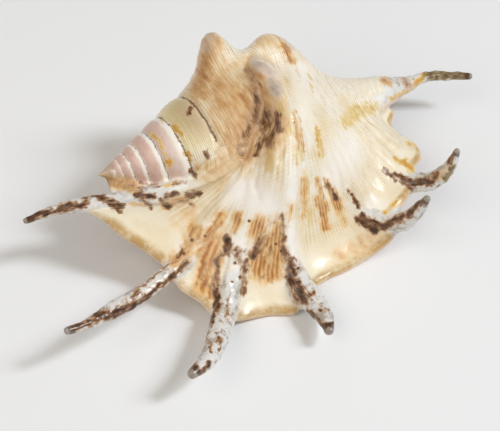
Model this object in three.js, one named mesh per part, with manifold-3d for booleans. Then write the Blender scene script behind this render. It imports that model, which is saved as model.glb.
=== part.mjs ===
// A spider conch shell, 183 mm from the tip of its first digit to the tip of its canal.
// Millimetres, +Z up, +X towards the canal, -Y towards the lip. The shell lies on its opening,
// and the origin is on the surface below the middle of its bounding box.
import * as THREE from "three";
import { mergeVertices } from "three/addons/utils/BufferGeometryUtils.js";
import Module from "manifold-3d";

// Driving dimensions.

// Spiral: every turn is WHORL_RATIO times the one before it, on a cone of slope SPIRE_SLOPE.
const APEX = new THREE.Vector3(-51.6, -0.6, 32.1);
const WHORL_RATIO = 1.355;
const SPIRE_SLOPE = 0.517;
const SUTURE_DISTANCE = 36.6; // the last suture's distance from the apex, at SUTURE_ANGLE
const SUTURE_ANGLE = 49;
const END_ANGLE = 132; // where the last whorl opens into the lip; 90 is the top, 180 faces the lip
const FRONT_DISTANCE = 113; // the body's front end, from the apex
const TURNS = 7;

// The coiling axis by distance from the apex: y, then z.
const AXIS_Y = [[0, -0.6], [30, -1.95], [60, -3.1], [86, -1.2], [98, 0.0], [113, 2.6]];
const AXIS_Z = [[0, 32.1], [30, 31.1], [60, 29.8], [74, 26.6], [86, 23.6], [98, 22.8], [113, 22.3]];

// How the last whorl narrows from its shoulder (0) to the front end (1).
const TAPER = [
  [0, 1.0], [0.076, 1.07], [0.17, 1.10], [0.24, 1.09], [0.37, 1.00],
  [0.56, 0.74], [0.757, 0.46], [0.95, 0.27], [1.0, 0.24],
];

// Lumps on the whorls: angle, distance, height, half width in degrees, half width along the
// axis, and how flat the top and steep the sides are.
const LUMPS = [
  [50, 52.6, 11.2, 17, 6.5, 1.3], // tall pointed knob
  [60, 76.2, 9.2, 18, 10.8, 1.3], // second knob
  [104, 61.1, 5.6, 22, 4.7, 1.9], // long dorsal knob, upper part
  [130, 60.8, 5.4, 19, 4.5, 2.3], // its middle
  [148, 61.1, 3.9, 15, 4.1, 1.8], // its lower end
  [14, 50, 4.5, 13, 5.5, 1.3], // low knobs further back
  [-30, 47, 3.0, 11, 5, 1.3],
  [-75, 44, 2.2, 11, 5, 1.3],
  [-95, 60, 6.4, 50, 22, 1.3], // pad of callus under the body
];

// Lip margin from the first digit round to the canal: x, y, z of its outer edge.
const MARGIN = [
  [-60.1, -11.6, 29], [-54.4, -15.3, 27], [-49.7, -21.2, 23], [-43.4, -27.8, 19],
  [-40.6, -32.2, 17], [-39.5, -38.2, 15], [-38.5, -42, 14], [-36.1, -44.8, 12],
  [-32.9, -49.3, 10], [-31.5, -54, 8], [-28.9, -57.6, 7], [-22.8, -57.5, 5],
  [-12.1, -58.5, 3.6], [-3.9, -62, 4], [0.7, -60.4, 5], [6.4, -54.6, 4],
  [13, -52.6, 3.4], [20, -52.2, 3.5], [30.1, -50.7, 5], [36.1, -51.1, 9],
  [39.5, -50, 13], [39.6, -46, 16], [45.2, -42.5, 16], [50.5, -40.1, 18],
  [54.4, -36.1, 20], [56.4, -31.7, 19.5], [61.5, -27.5, 18.5], [63.9, -19.6, 16],
  [62.1, -13.9, 15], [61.5, -6, 14.5], [66, -1.0, 14.5],
];

// Where the lip's growth lines leave the body, by share of the margin: angle, distance,
// sideways lean, curve length at the body, curve length at the margin, direction at the margin.
const LEAVING = [
  [0.00, 134, 50, -0.45, 15, 34, -0.93, 0.28, -0.03],
  [0.06, 132, 51, -0.50, 16, 28, -0.93, -0.05, -0.08],
  [0.13, 130, 52.5, -0.60, 19, 22, -0.80, -0.45, -0.20],
  [0.20, 128, 54, -0.60, 21, 19, -0.62, -0.72, -0.28],
  [0.34, 126, 58, -0.45, 20, 20, -0.35, -0.85, -0.30],
  [0.45, 124, 63, -0.05, 18, 20, 0.02, -0.95, -0.25],
  [0.58, 123, 70, 0.15, 17, 18, 0.10, -0.95, -0.15],
  [0.68, 124, 79, 0.30, 14, 14, 0.30, -0.90, 0.15],
  [0.77, 126, 88, 0.45, 11, 11, 0.50, -0.80, 0.15],
  [0.87, 130, 97, 0.60, 8, 8, 0.75, -0.65, -0.05],
  [0.94, 140, 105, 0.60, 5, 6, 0.75, -0.60, -0.15],
  [1.00, 160, 110, 0.60, 3, 4, 0.80, -0.45, -0.15],
];
const LIP_THICKNESS = 2.55;
const MARGIN_THICKENING = 1.0;
const WALL = 2.8; // the last whorl's wall
const HOLLOW_START = 15; // angle where the hollow begins

// Six digits and the canal: centre line points, then [share of the length, radius].
const DIGITS = [
  {
    path: [[-13, -19.5, 34.5], [-18.9, -19, 31.6], [-26, -18, 31], [-34, -16.2, 30.6], [-42, -13.6, 29.6],
      [-50, -11, 28.8], [-57, -8.8, 28.7], [-64, -7.4, 29.2], [-71.4, -7.2, 29.8], [-80, -8, 30.5]],
    radii: [[0, 2.4], [0.15, 3.6], [0.5, 3.2], [0.72, 2.8], [0.85, 2.0], [1, 1.15]],
  },
  {
    path: [[-11.7, -31.8, 27], [-19.2, -32, 22.2], [-26.8, -33.4, 18.2], [-34, -36, 15.6], [-43.1, -38.9, 15.2],
      [-50.6, -42, 16.2], [-64.9, -46.6, 18.2], [-77.1, -50.2, 21], [-81.8, -50.8, 22.3]],
    radii: [[0, 2.4], [0.25, 3.4], [0.45, 3.4], [0.6, 2.9], [0.75, 3.0], [0.9, 1.9], [1, 1.4]],
  },
  {
    path: [[-11.7, -34.1, 26.2], [-15.7, -38.3, 20.2], [-19.2, -43, 14.6], [-22.8, -48.1, 10.4],
      [-26.3, -53.4, 8.3], [-30.4, -58.9, 8.6], [-35.4, -66.3, 10.5], [-43.2, -75.1, 13.5], [-50.2, -79.3, 16]],
    radii: [[0, 2.6], [0.3, 4.0], [0.55, 4.1], [0.75, 3.6], [0.9, 2.7], [1, 1.8]],
  },
  {
    path: [[1.3, -37, 21.8], [0.4, -41.9, 15.8], [0, -46.9, 10.6], [-0.1, -52.6, 7.2], [0.4, -58.3, 6],
      [1.4, -63.3, 6.2], [1.9, -69.2, 7], [1.3, -73.9, 7.9], [0, -78.4, 8.8]],
    radii: [[0, 2.8], [0.3, 4.2], [0.55, 4.8], [0.72, 3.9], [0.88, 2.7], [1, 1.7]],
  },
  {
    path: [[21.5, -29.7, 22.6], [25.8, -32.1, 17.3], [30.7, -35.6, 13.4], [34.8, -40, 11.4], [38.4, -45, 11.6],
      [42, -50.2, 14], [45.3, -54, 20.6], [47.1, -55, 25.4], [48.1, -56, 29.7]],
    radii: [[0, 2.4], [0.3, 3.6], [0.55, 3.8], [0.72, 3.2], [0.88, 2.2], [1, 1.4]],
  },
  {
    path: [[40.5, -22, 22.6], [43.1, -25.4, 19.8], [46.3, -29.3, 17.4], [49.7, -33.4, 16.2], [53, -37.2, 16.5],
      [56.4, -40.6, 18.2], [60.2, -44, 22.4], [62.9, -45.6, 27.8], [65, -46, 36.1]],
    radii: [[0, 2.2], [0.3, 3.3], [0.55, 3.5], [0.7, 3.0], [0.87, 2.0], [1, 1.3]],
  },
  {
    path: [[44, 0, 23.3], [52, 1, 22.6], [60.4, 2.9, 21.2], [67, 3.9, 20], [74.4, 4.5, 19],
      [84.8, 5.6, 18], [92.1, 3.1, 17.5], [99.3, -1.1, 18]],
    radii: [[0, 8.4], [0.2, 7.8], [0.3, 6.8], [0.42, 5.0], [0.55, 3.0], [0.66, 2.2], [0.8, 1.9], [1, 1.35]],
  },
];

const REST_LEVEL = 0.3; // the shell is worn flat below this height where it lies
const MIDDLE = new THREE.Vector3(8.74, -27.265, REST_LEVEL); // moved to the origin at the end

// Facets: around one turn, across a spire whorl, along the front part, along and across the lip.
const AROUND = 40;
const ACROSS = 4;
const FRONT_STEPS = 15;
const LIP_STEPS = 42;
const CORD_STEPS = 7;
const DIGIT_SIDES = 8;
const DIGIT_STEPS = 12;

const COLOUR = 0xf1e7d6;

// Small helpers.

const clamp = (x, low, high) => Math.min(Math.max(x, low), high);
const smooth = (x) => { const t = clamp(x, 0, 1); return t * t * (3 - 2 * t); };
const radians = (degrees) => degrees * Math.PI / 180;
const spread = (from, to, count) => Array.from({ length: count }, (_, i) => from + (to - from) * i / (count - 1));
const vector = (p) => new THREE.Vector3(p[0], p[1], p[2]);

// Smooth curve through keys [x, value, value...]; returns the values at x.
function along(keys, x) {
  const last = keys.length - 1;
  let i = 0;
  while (i < last - 1 && x >= keys[i + 1][0]) i++;
  const width = keys[i + 1][0] - keys[i][0];
  const t = clamp((x - keys[i][0]) / width, 0, 1);
  const rate = (a, b, c) => (keys[b][c] - keys[a][c]) / (keys[b][0] - keys[a][0]);
  const tangent = (k, c) => {
    if (k === 0) return rate(0, 1, c);
    if (k === last) return rate(last - 1, last, c);
    return (rate(k - 1, k, c) + rate(k, k + 1, c)) / 2;
  };
  const values = [];
  for (let c = 1; c < keys[0].length; c++) {
    values.push(
      keys[i][c] * (2 * t ** 3 - 3 * t ** 2 + 1) + tangent(i, c) * width * (t ** 3 - 2 * t ** 2 + t) +
      keys[i + 1][c] * (-2 * t ** 3 + 3 * t ** 2) + tangent(i + 1, c) * width * (t ** 3 - t ** 2));
  }
  return values;
}

// Points as keys, by their share of the length of the line through them.
function byLength(points) {
  const sums = [0];
  for (let i = 1; i < points.length; i++) sums.push(sums[i - 1] + vector(points[i]).distanceTo(vector(points[i - 1])));
  return points.map((p, i) => [sums[i] / sums[points.length - 1], ...p]);
}

// The coiled body.

const sutureDistance = (angle) => SUTURE_DISTANCE * WHORL_RATIO ** ((angle - SUTURE_ANGLE) / 360);

const axisPoint = (distance) => new THREE.Vector3(
  APEX.x + distance, along(AXIS_Y, distance)[0], along(AXIS_Z, distance)[0]);

function lumpHeight(angle, distance) {
  let sum = 0;
  for (const [a, d, height, halfAngle, halfWidth, square] of LUMPS) {
    sum += height * Math.exp(-((((angle - a) / halfAngle) ** 2 + ((distance - d) / halfWidth) ** 2) ** square));
  }
  return sum * smooth((angle + 250) / 60);
}

// The whorl's radius without its lumps, at an angle and a distance from the apex.
function plainRadius(angle, distance) {
  const suture = sutureDistance(angle);
  const next = suture * WHORL_RATIO;
  const across = clamp(Math.log(Math.max(distance, 1e-6) / suture) / Math.log(WHORL_RATIO), 0, 1);
  const swell = 0.066 * Math.sin(Math.PI * across) ** 0.8 - 0.03 * Math.exp(-across / 0.06);
  const age = smooth((angle + 210) / 150);
  const radius = SPIRE_SLOPE * Math.min(distance, next) * (1 + swell * (1 - 0.3 * age));
  if (distance <= next) return radius;
  return radius * along(TAPER, clamp((distance - next) / (FRONT_DISTANCE - next), 0, 1))[0];
}

const around = (angle) => new THREE.Vector3(0, Math.cos(radians(angle)), Math.sin(radians(angle)));

function bodyPoint(angle, distance, lumps = true) {
  const radius = plainRadius(angle, distance) + (lumps ? lumpHeight(angle, distance) : 0);
  return axisPoint(distance).addScaledVector(around(angle), radius);
}

// One ribbon wound from the apex to the lip: each turn shares its front edge with the next turn,
// and the last turn runs on to the front end.
function coiledBody() {
  const columns = Math.round(TURNS * AROUND);
  const rows = ACROSS + FRONT_STEPS;
  const points = [];
  const faces = [];
  const index = new Map();
  const vertex = (m, j) => {
    if (j === ACROSS && m + AROUND <= columns) return vertex(m + AROUND, 0);
    const key = m * 1000 + j;
    if (!index.has(key)) {
      const angle = END_ANGLE - 360 * (columns - m) / AROUND;
      const suture = sutureDistance(angle);
      const next = suture * WHORL_RATIO;
      const distance = j <= ACROSS
        ? suture * WHORL_RATIO ** (j / ACROSS)
        : next + (FRONT_DISTANCE - next) * ((j - ACROSS) / FRONT_STEPS) ** 1.5;
      index.set(key, points.length);
      points.push(bodyPoint(angle, distance));
    }
    return index.get(key);
  };
  for (let m = 0; m < columns; m++) {
    const top = m < columns - AROUND ? ACROSS : rows;
    for (let j = 0; j < top; j++) {
      const [a, b, c, d] = [vertex(m, j), vertex(m + 1, j), vertex(m + 1, j + 1), vertex(m, j + 1)];
      faces.push([a, b, c], [a, c, d]);
    }
  }
  const apex = points.push(APEX.clone().add(new THREE.Vector3(-0.3, 0, 0))) - 1;
  for (let m = 0; m < AROUND; m++) faces.push([vertex(m + 1, 0), vertex(m, 0), apex]);
  for (let j = 0; j < ACROSS; j++) faces.push([vertex(0, j), vertex(0, j + 1), apex]);

  const ring = [];
  for (let m = columns - AROUND; m <= columns; m++) ring.push(vertex(m, rows));
  const middle = new THREE.Vector3();
  for (const i of ring) middle.addScaledVector(points[i], 1 / ring.length);
  const front = points.push(middle.add(new THREE.Vector3(1.5, 0, 0))) - 1;
  for (let i = 0; i + 1 < ring.length; i++) faces.push([ring[i], ring[i + 1], front]);

  const inner = [];
  const outer = [];
  for (let j = ACROSS; j <= rows; j++) inner.push(vertex(columns - AROUND, j));
  for (let j = 0; j <= rows; j++) outer.push(vertex(columns, j));
  faces.push(...fillBetween(inner, outer, points));
  faces.push([outer[rows], inner[FRONT_STEPS], front]);
  return solid(points, faces);
}

// Triangles between two edges that start at one shared vertex.
function fillBetween(inner, outer, points) {
  const shares = (chain) => {
    const sums = [0];
    for (let i = 1; i < chain.length; i++) sums.push(sums[i - 1] + points[chain[i]].distanceTo(points[chain[i - 1]]));
    return sums.map((s) => s / sums[sums.length - 1]);
  };
  const [si, so] = [shares(inner), shares(outer)];
  const faces = [];
  let [i, o] = [0, 0];
  while (i < inner.length - 1 || o < outer.length - 1) {
    if (o < outer.length - 1 && (i === inner.length - 1 || so[o + 1] <= si[i + 1])) {
      if (inner[i] !== outer[o]) faces.push([inner[i], outer[o + 1], outer[o]]);
      o++;
    } else {
      if (inner[i] !== outer[o]) faces.push([inner[i], inner[i + 1], outer[o]]);
      i++;
    }
  }
  return faces;
}

// Solids from rings of points.

const wasm = await Module();
wasm.setup();

function volume(points, faces) {
  let sum = 0;
  for (const [a, b, c] of faces) sum += points[a].dot(points[b].clone().cross(points[c]));
  return sum / 6;
}

function solid(points, faces) {
  if (volume(points, faces) < 0) faces = faces.map(([a, b, c]) => [a, c, b]);
  const geometry = new THREE.BufferGeometry().setFromPoints(points);
  geometry.setIndex(faces.flat());
  return manifoldOf(mergeVertices(geometry, 1e-5));
}

function manifoldOf(geometry) {
  return new wasm.Manifold(new wasm.Mesh({
    numProp: 3,
    vertProperties: Float32Array.from(geometry.attributes.position.array),
    triVerts: Uint32Array.from(geometry.index.array),
  }));
}

// A closed solid through equal closed rings of points, with flat ends.
function loft(rings) {
  const count = rings[0].length;
  const points = rings.flat();
  const faces = [];
  for (let i = 0; i + 1 < rings.length; i++) {
    for (let j = 0; j < count; j++) {
      const [a, b] = [i * count + j, i * count + (j + 1) % count];
      faces.push([a, b, b + count], [a, b + count, a + count]);
    }
  }
  const centre = (ring) => ring.reduce((sum, p) => sum.addScaledVector(p, 1 / count), new THREE.Vector3());
  const start = points.push(centre(rings[0])) - 1;
  const end = points.push(centre(rings[rings.length - 1])) - 1;
  const base = (rings.length - 1) * count;
  for (let j = 0; j < count; j++) {
    faces.push([start, (j + 1) % count, j], [end, base + j, base + (j + 1) % count]);
  }
  return solid(points, faces);
}

// A sheet given by the outer face's grid of points and its thickness, with a rounded last edge.
function sheet(grid, thickness, edge) {
  const rows = grid.length;
  const cols = grid[0].length;
  const normals = grid.map((row, i) => row.map((_, j) => {
    const alongLip = grid[Math.min(i + 1, rows - 1)][j].clone().sub(grid[Math.max(i - 1, 0)][j]);
    const alongCord = row[Math.min(j + 1, cols - 1)].clone().sub(row[Math.max(j - 1, 0)]);
    return alongCord.cross(alongLip).normalize();
  }));
  const up = normals.flat().reduce((sum, n) => sum + n.z, 0) < 0 ? -1 : 1;
  return loft(grid.map((row, i) => {
    const inner = row.map((p, j) => p.clone().addScaledVector(normals[i][j], -up * thickness(j)));
    const outwards = row[cols - 1].clone().sub(row[cols - 2]).normalize();
    const half = thickness(cols - 1) / 2;
    const middle = row[cols - 1].clone().addScaledVector(normals[i][cols - 1], -up * half);
    const rim = [];
    for (let k = 1; k < edge; k++) {
      const a = Math.PI * k / edge;
      rim.push(middle.clone()
        .addScaledVector(normals[i][cols - 1], up * half * Math.cos(a))
        .addScaledVector(outwards, half * Math.sin(a)));
    }
    return [...row.map((p) => p.clone()), ...rim, ...inner.reverse()];
  }));
}

// The lip.

const MARGIN_KEYS = byLength(MARGIN);

// A point of the lip's outer face: share of the margin, then 0 at the body to 1 at the margin,
// and below 0 inside the body's wall.
function lipPoint(share, across) {
  const [angle, distance, lean, bodyLength, edgeLength, tx, ty, tz] = along(LEAVING, share);
  if (across < 0) {
    const p = bodyPoint(angle + across * 60, distance + across * 15.7 * lean);
    return p.addScaledVector(around(angle + across * 60), across * 4.5);
  }
  const start = bodyPoint(angle, distance, false);
  const leave = new THREE.Vector3(lean, -Math.sin(radians(angle)), Math.cos(radians(angle))).normalize();
  const end = vector(along(MARGIN_KEYS, share));
  const arrive = new THREE.Vector3(tx, ty, tz).normalize();
  return new THREE.CubicBezierCurve3(
    start,
    start.clone().addScaledVector(leave, bodyLength),
    end.clone().addScaledVector(arrive, -edgeLength),
    end,
  ).getPoint(across).addScaledVector(around(angle), lumpHeight(angle + across * 55, distance));
}

function lip() {
  const across = [-0.25, -0.125, ...spread(0, 1, CORD_STEPS + 1)];
  const grid = spread(0, 1, LIP_STEPS).map((share) => across.map((v) => lipPoint(share, v)));
  return sheet(grid, (j) => LIP_THICKNESS + MARGIN_THICKENING * smooth((across[j] - 0.75) / 0.25), 4);
}

// The thin wall that fills between the spire and the first digit.
function spireWeb() {
  const line = DIGITS[0].path.slice().reverse().map((p) => [p[0], ...p]);
  const grid = spread(-49, -14, 14).map((x) => {
    const distance = x - APEX.x;
    const digit = vector(along(line, x));
    const spire = axisPoint(distance).addScaledVector(around(172), SPIRE_SLOPE * distance * 0.9 - 0.6);
    return spread(0, 1, 5).map((v) => {
      const p = spire.clone().lerp(digit, v);
      p.z -= 1.2 * Math.sin(Math.PI * v);
      return p;
    });
  });
  return sheet(grid, () => 2, 2);
}

// Digits and canal.

// A tapered tube with a blunt tip.
function digit({ path, radii }) {
  const keys = byLength(path);
  const shares = spread(0, 1, DIGIT_STEPS + 1);
  const points = shares.map((s) => vector(along(keys, s)));
  const ring = (centre, tangent, radius) => {
    const side = tangent.clone().cross(new THREE.Vector3(0, 0, 1)).normalize();
    const up = side.clone().cross(tangent);
    return spread(0, 2 * Math.PI, DIGIT_SIDES + 1).slice(0, -1).map((a) => centre.clone()
      .addScaledVector(side, radius * Math.cos(a)).addScaledVector(up, radius * Math.sin(a)));
  };
  const tangents = points.map((_, i) => points[Math.min(i + 1, DIGIT_STEPS)].clone()
    .sub(points[Math.max(i - 1, 0)]).normalize());
  const rings = points.map((p, i) => ring(p, tangents[i], along(radii, shares[i])[0]));
  const [tip, tangent, radius] = [points[DIGIT_STEPS], tangents[DIGIT_STEPS], radii[radii.length - 1][1]];
  rings.push(ring(tip.clone().addScaledVector(tangent, radius * 0.5), tangent, radius * 0.8));
  rings.push(ring(tip.clone().addScaledVector(tangent, radius * 0.75), tangent, radius * 0.4));
  return loft(rings);
}

// The hollow of the last whorl.

// It lies between the turn before and the outer wall, and opens under the lip.
function hollow() {
  const steps = spread(0, 1, 13);
  return loft(spread(HOLLOW_START, END_ANGLE + 4, 14).map((angle) => {
    const grown = smooth((angle - HOLLOW_START) / 60);
    const from = sutureDistance(angle) * WHORL_RATIO * 0.97 + (1 - grown) * 8 + 6 * smooth((angle - 100) / 30);
    const to = 106 - (1 - grown) * 18;
    const side = (sign) => steps.map((s) => {
      const distance = from + (to - from) * s;
      const outer = plainRadius(angle, distance) - WALL;
      const inner = plainRadius(angle - 360, distance) * (0.86 + 0.14 * smooth((angle - 40) / 90)) + 0.2;
      const open = Math.max(Math.sin(Math.PI * s), 0) ** 0.6;
      const half = Math.max((outer - inner) / 2, 0.3) * Math.max(open, 0.05) * (0.3 + 0.7 * grown);
      return axisPoint(distance).addScaledVector(around(angle), (outer + inner) / 2 + sign * half);
    });
    return [...side(1), ...side(-1).reverse()];
  }));
}

// The whole shell.

function wornFlat() {
  const box = new THREE.BoxGeometry(400, 400, 60).translate(0, 0, REST_LEVEL - 30);
  box.deleteAttribute("normal");
  box.deleteAttribute("uv");
  return manifoldOf(mergeVertices(box));
}

let shellSolid = coiledBody().add(lip()).add(spireWeb());
for (const piece of DIGITS) shellSolid = shellSolid.add(digit(piece));
shellSolid = shellSolid.subtract(hollow()).subtract(wornFlat());
// A crumb thinner than paper can come loose where two faces meet; the shell is the largest body.
shellSolid = shellSolid.decompose().reduce((a, b) => (a.volume() > b.volume() ? a : b));

const result = shellSolid.getMesh();
const geometry = new THREE.BufferGeometry();
geometry.setAttribute("position", new THREE.BufferAttribute(Float32Array.from(result.vertProperties), 3));
geometry.setIndex(new THREE.BufferAttribute(Uint32Array.from(result.triVerts), 1));
geometry.translate(-MIDDLE.x, -MIDDLE.y, -MIDDLE.z);

const shell = new THREE.Mesh(
  geometry,
  new THREE.MeshStandardMaterial({ color: COLOUR, roughness: 0.35, metalness: 0, flatShading: true }),
);
shell.name = "shell";

const group = new THREE.Group();
group.add(shell);

export default group;
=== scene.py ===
"""A spider conch shell lying on its opening on a pale table."""
import math
from functools import partial

import bpy
import numpy as np
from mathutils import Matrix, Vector, kdtree, noise


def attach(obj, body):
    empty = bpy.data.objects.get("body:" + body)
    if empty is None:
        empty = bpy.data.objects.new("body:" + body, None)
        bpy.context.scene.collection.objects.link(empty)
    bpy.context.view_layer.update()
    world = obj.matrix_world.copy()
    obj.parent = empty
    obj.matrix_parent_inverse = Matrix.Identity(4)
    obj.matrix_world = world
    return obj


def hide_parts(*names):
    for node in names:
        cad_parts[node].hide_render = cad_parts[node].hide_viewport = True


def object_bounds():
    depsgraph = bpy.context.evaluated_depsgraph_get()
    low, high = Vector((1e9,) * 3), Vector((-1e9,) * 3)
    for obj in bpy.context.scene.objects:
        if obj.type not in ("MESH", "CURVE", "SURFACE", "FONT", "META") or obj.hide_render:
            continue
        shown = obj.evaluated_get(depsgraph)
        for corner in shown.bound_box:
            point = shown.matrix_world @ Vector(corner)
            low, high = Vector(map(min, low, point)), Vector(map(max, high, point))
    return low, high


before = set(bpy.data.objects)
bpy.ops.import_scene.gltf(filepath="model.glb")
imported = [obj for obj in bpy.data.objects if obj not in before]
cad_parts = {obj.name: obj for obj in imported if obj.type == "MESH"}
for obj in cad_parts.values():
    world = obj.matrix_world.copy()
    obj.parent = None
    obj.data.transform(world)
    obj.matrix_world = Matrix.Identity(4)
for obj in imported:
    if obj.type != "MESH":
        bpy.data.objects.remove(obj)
CAD_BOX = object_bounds()

# Sizes are in millimetres and degrees, in the coordinates of the solid's own source
# Spiral: every turn is WHORL_RATIO times the one before it, on a cone of slope SPIRE_SLOPE.
APEX = np.array([-51.6, -0.6, 32.1])
WHORL_RATIO = 1.355
SPIRE_SLOPE = 0.517
SUTURE_DISTANCE = 36.6
SUTURE_ANGLE = 49.0
END_ANGLE = 132.0
FRONT_DISTANCE = 113.0
TURNS = 9

AXIS_Y = [(0, -0.6), (30, -1.95), (60, -3.1), (86, -1.2), (98, 0.0), (113, 2.6)]
AXIS_Z = [(0, 32.1), (30, 31.1), (60, 29.8), (74, 26.6), (86, 23.6), (98, 22.8), (113, 22.3)]
TAPER = [(0, 1.0), (0.076, 1.07), (0.17, 1.10), (0.24, 1.09), (0.37, 1.00),
         (0.56, 0.74), (0.757, 0.46), (0.95, 0.27), (1.0, 0.24)]
LUMPS = [(50, 52.6, 11.2, 17, 6.5, 1.3), (60, 76.2, 9.2, 18, 10.8, 1.3), (104, 61.1, 5.6, 22, 4.7, 1.9),
         (130, 60.8, 5.4, 19, 4.5, 2.3), (148, 61.1, 3.9, 15, 4.1, 1.8), (14, 50, 4.5, 13, 5.5, 1.3),
         (-30, 47, 3.0, 11, 5, 1.3), (-75, 44, 2.2, 11, 5, 1.3), (-95, 60, 6.4, 50, 22, 1.3)]
MARGIN = [
    (-60.1, -11.6, 29), (-54.4, -15.3, 27), (-49.7, -21.2, 23), (-43.4, -27.8, 19), (-40.6, -32.2, 17),
    (-39.5, -38.2, 15), (-38.5, -42, 14), (-36.1, -44.8, 12), (-32.9, -49.3, 10), (-31.5, -54, 8),
    (-28.9, -57.6, 7), (-22.8, -57.5, 5), (-12.1, -58.5, 3.6), (-3.9, -62, 4), (0.7, -60.4, 5),
    (6.4, -54.6, 4), (13, -52.6, 3.4), (20, -52.2, 3.5), (30.1, -50.7, 5), (36.1, -51.1, 9),
    (39.5, -50, 13), (39.6, -46, 16), (45.2, -42.5, 16), (50.5, -40.1, 18), (54.4, -36.1, 20),
    (56.4, -31.7, 19.5), (61.5, -27.5, 18.5), (63.9, -19.6, 16), (62.1, -13.9, 15), (61.5, -6, 14.5),
    (66, -1.0, 14.5)]
LEAVING = [
    (0.00, 134, 50, -0.45, 15, 34, -0.93, 0.28, -0.03),
    (0.06, 132, 51, -0.50, 16, 28, -0.93, -0.05, -0.08),
    (0.13, 130, 52.5, -0.60, 19, 22, -0.80, -0.45, -0.20),
    (0.20, 128, 54, -0.60, 21, 19, -0.62, -0.72, -0.28),
    (0.34, 126, 58, -0.45, 20, 20, -0.35, -0.85, -0.30),
    (0.45, 124, 63, -0.05, 18, 20, 0.02, -0.95, -0.25),
    (0.58, 123, 70, 0.15, 17, 18, 0.10, -0.95, -0.15),
    (0.68, 124, 79, 0.30, 14, 14, 0.30, -0.90, 0.15),
    (0.77, 126, 88, 0.45, 11, 11, 0.50, -0.80, 0.15),
    (0.87, 130, 97, 0.60, 8, 8, 0.75, -0.65, -0.05),
    (0.94, 140, 105, 0.60, 5, 6, 0.75, -0.60, -0.15),
    (1.00, 160, 110, 0.60, 3, 4, 0.80, -0.45, -0.15)]
LIP_THICKNESS = 2.55
MARGIN_THICKENING = 1.0
WALL = 2.8
HOLLOW_START = 15.0
DIGITS = [
    ([(-13, -19.5, 34.5), (-18.9, -19, 31.6), (-26, -18, 31), (-34, -16.2, 30.6), (-42, -13.6, 29.6),
      (-50, -11, 28.8), (-57, -8.8, 28.7), (-64, -7.4, 29.2), (-71.4, -7.2, 29.8), (-80, -8, 30.5)],
     [(0, 2.4), (0.15, 3.6), (0.5, 3.2), (0.72, 2.8), (0.85, 2.0), (1, 1.15)]),
    ([(-11.7, -31.8, 27), (-19.2, -32, 22.2), (-26.8, -33.4, 18.2), (-34, -36, 15.6), (-43.1, -38.9, 15.2),
      (-50.6, -42, 16.2), (-64.9, -46.6, 18.2), (-77.1, -50.2, 21), (-81.8, -50.8, 22.3)],
     [(0, 2.4), (0.25, 3.4), (0.45, 3.4), (0.6, 2.9), (0.75, 3.0), (0.9, 1.9), (1, 1.4)]),
    ([(-11.7, -34.1, 26.2), (-15.7, -38.3, 20.2), (-19.2, -43, 14.6), (-22.8, -48.1, 10.4),
      (-26.3, -53.4, 8.3), (-30.4, -58.9, 8.6), (-35.4, -66.3, 10.5), (-43.2, -75.1, 13.5),
      (-50.2, -79.3, 16)],
     [(0, 2.6), (0.3, 4.0), (0.55, 4.1), (0.75, 3.6), (0.9, 2.7), (1, 1.8)]),
    ([(1.3, -37, 21.8), (0.4, -41.9, 15.8), (0, -46.9, 10.6), (-0.1, -52.6, 7.2), (0.4, -58.3, 6),
      (1.4, -63.3, 6.2), (1.9, -69.2, 7), (1.3, -73.9, 7.9), (0, -78.4, 8.8)],
     [(0, 2.8), (0.3, 4.2), (0.55, 4.8), (0.72, 3.9), (0.88, 2.7), (1, 1.7)]),
    ([(21.5, -29.7, 22.6), (25.8, -32.1, 17.3), (30.7, -35.6, 13.4), (34.8, -40, 11.4), (38.4, -45, 11.6),
      (42, -50.2, 14), (45.3, -54, 20.6), (47.1, -55, 25.4), (48.1, -56, 29.7)],
     [(0, 2.4), (0.3, 3.6), (0.55, 3.8), (0.72, 3.2), (0.88, 2.2), (1, 1.4)]),
    ([(40.5, -22, 22.6), (43.1, -25.4, 19.8), (46.3, -29.3, 17.4), (49.7, -33.4, 16.2), (53, -37.2, 16.5),
      (56.4, -40.6, 18.2), (60.2, -44, 22.4), (62.9, -45.6, 27.8), (65, -46, 36.1)],
     [(0, 2.2), (0.3, 3.3), (0.55, 3.5), (0.7, 3.0), (0.87, 2.0), (1, 1.3)]),
    ([(44, 0, 23.3), (52, 1, 22.6), (60.4, 2.9, 21.2), (67, 3.9, 20), (74.4, 4.5, 19),
      (84.8, 5.6, 18), (92.1, 3.1, 17.5), (99.3, -1.1, 18)],
     [(0, 8.4), (0.2, 7.8), (0.3, 6.8), (0.42, 5.0), (0.55, 3.0), (0.66, 2.2), (0.8, 1.9), (1, 1.35)]),
]
# The bead of shell that seals the lip's back end to the spire
SEAL = ([(-26.5, -19.0, 34.6), (-23.6, -19.9, 36.5), (-19.5, -20.8, 38.4), (-15.2, -21.2, 40.9),
         (-10.8, -21.3, 42.9), (-7.8, -21.3, 44.6)], [(0, 1.6), (0.5, 2.3), (1, 1.6)])
REST_LEVEL = 0.3
MIDDLE = np.array([8.74, -27.265, REST_LEVEL])
MM = 0.001

# Fine relief: pitches, heights, depths and wave lengths, in millimetres unless the name says pixels
CORD_PITCH = 2.4
BODY_CORD = 0.07
LIP_CORD = 0.10
DIGIT_LUMPS = 0.36
DIGIT_WAVES = 0.40
SKIN_WAVES = 0.14
SKIN_LUMPS = 0.08
MARGIN_WAVES = 0.22
SUTURE_DEPTH, SUTURE_HALF_WIDTH = 0.25, 0.45
PIT_DEPTH, PIT_PIXELS = 0.35, 2.0
WAVE_LENGTH, LUMP_LENGTH, SWELL_LENGTH, RAGGED_LENGTH = 6.0, 2.4, 14.0, 1.5
RAGGED_PIXELS = 2.6

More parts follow.
